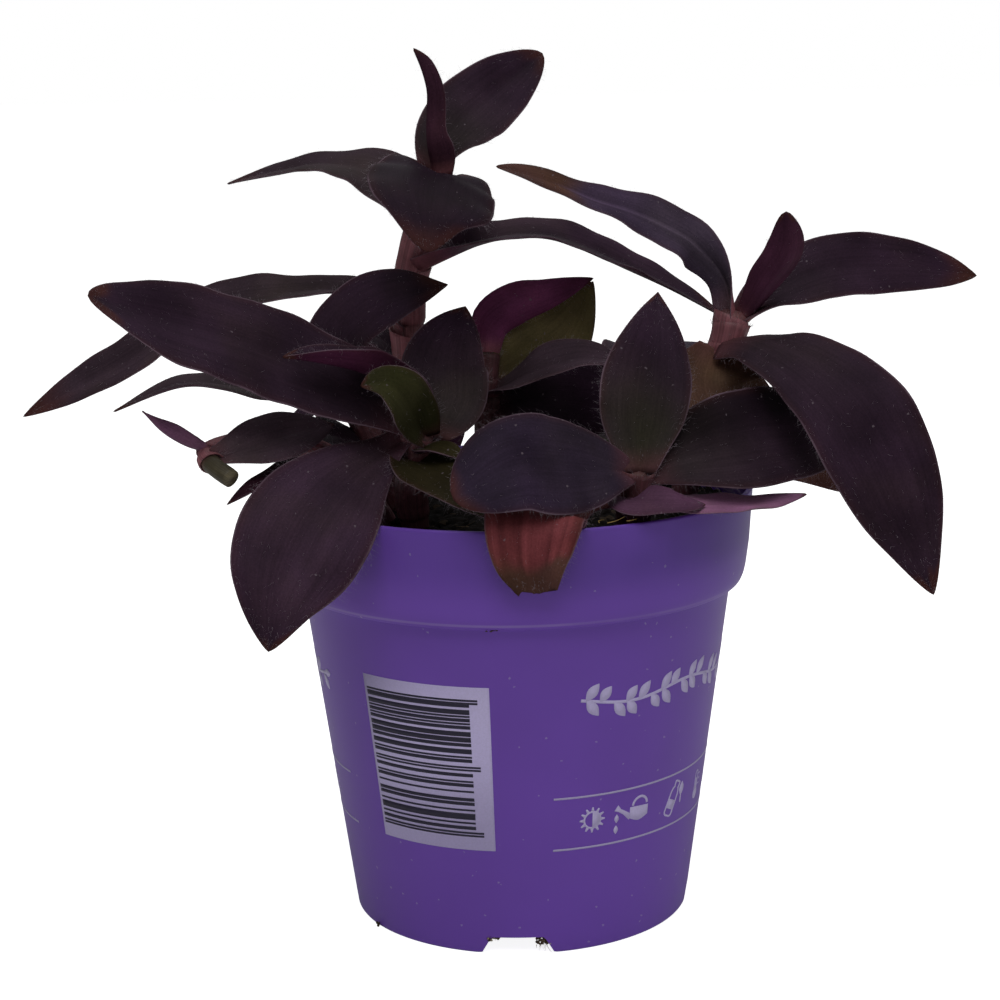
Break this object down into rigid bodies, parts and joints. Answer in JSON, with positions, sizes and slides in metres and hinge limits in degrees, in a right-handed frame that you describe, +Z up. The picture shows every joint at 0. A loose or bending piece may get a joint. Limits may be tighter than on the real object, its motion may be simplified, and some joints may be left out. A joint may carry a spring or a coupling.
{
  "type": "potted purple heart plant",
  "caption": "Trailing purple-leaved houseplant with broad pointed leaves on leafy stems, standing in a tapered plastic nursery pot with a stepped collar.",
  "frame": {"origin": "on the ground under the middle of the pot, at the flat face it rests on", "axes": "+Z up along the pot's axis, -Y towards the front with the label place, +X to the right seen from the front"},
  "size_m": [0.218, 0.1431, 0.1905],
  "materials": {
    "pot_plastic": "satin violet plastic with a pale printed label place and care marks",
    "soil": "damp peat potting soil with straw bits",
    "leaf": "dark purple leaf with a satin skin, fine hairs and magenta undersides"
  },
  "bodies": {
    "root": {"pot": "pot_plastic", "soil": "soil", "tall_shoot": "leaf", "right_shoot": "leaf", "front_shoot": "leaf", "centre_shoot": "leaf", "left_shoot": "leaf", "pruned_shoot": "leaf", "middle_shoot": "leaf", "back_left_shoot": "leaf", "back_right_shoot": "leaf", "back_shoot": "leaf", "young_shoot": "leaf"}
  },
  "joints": []
}
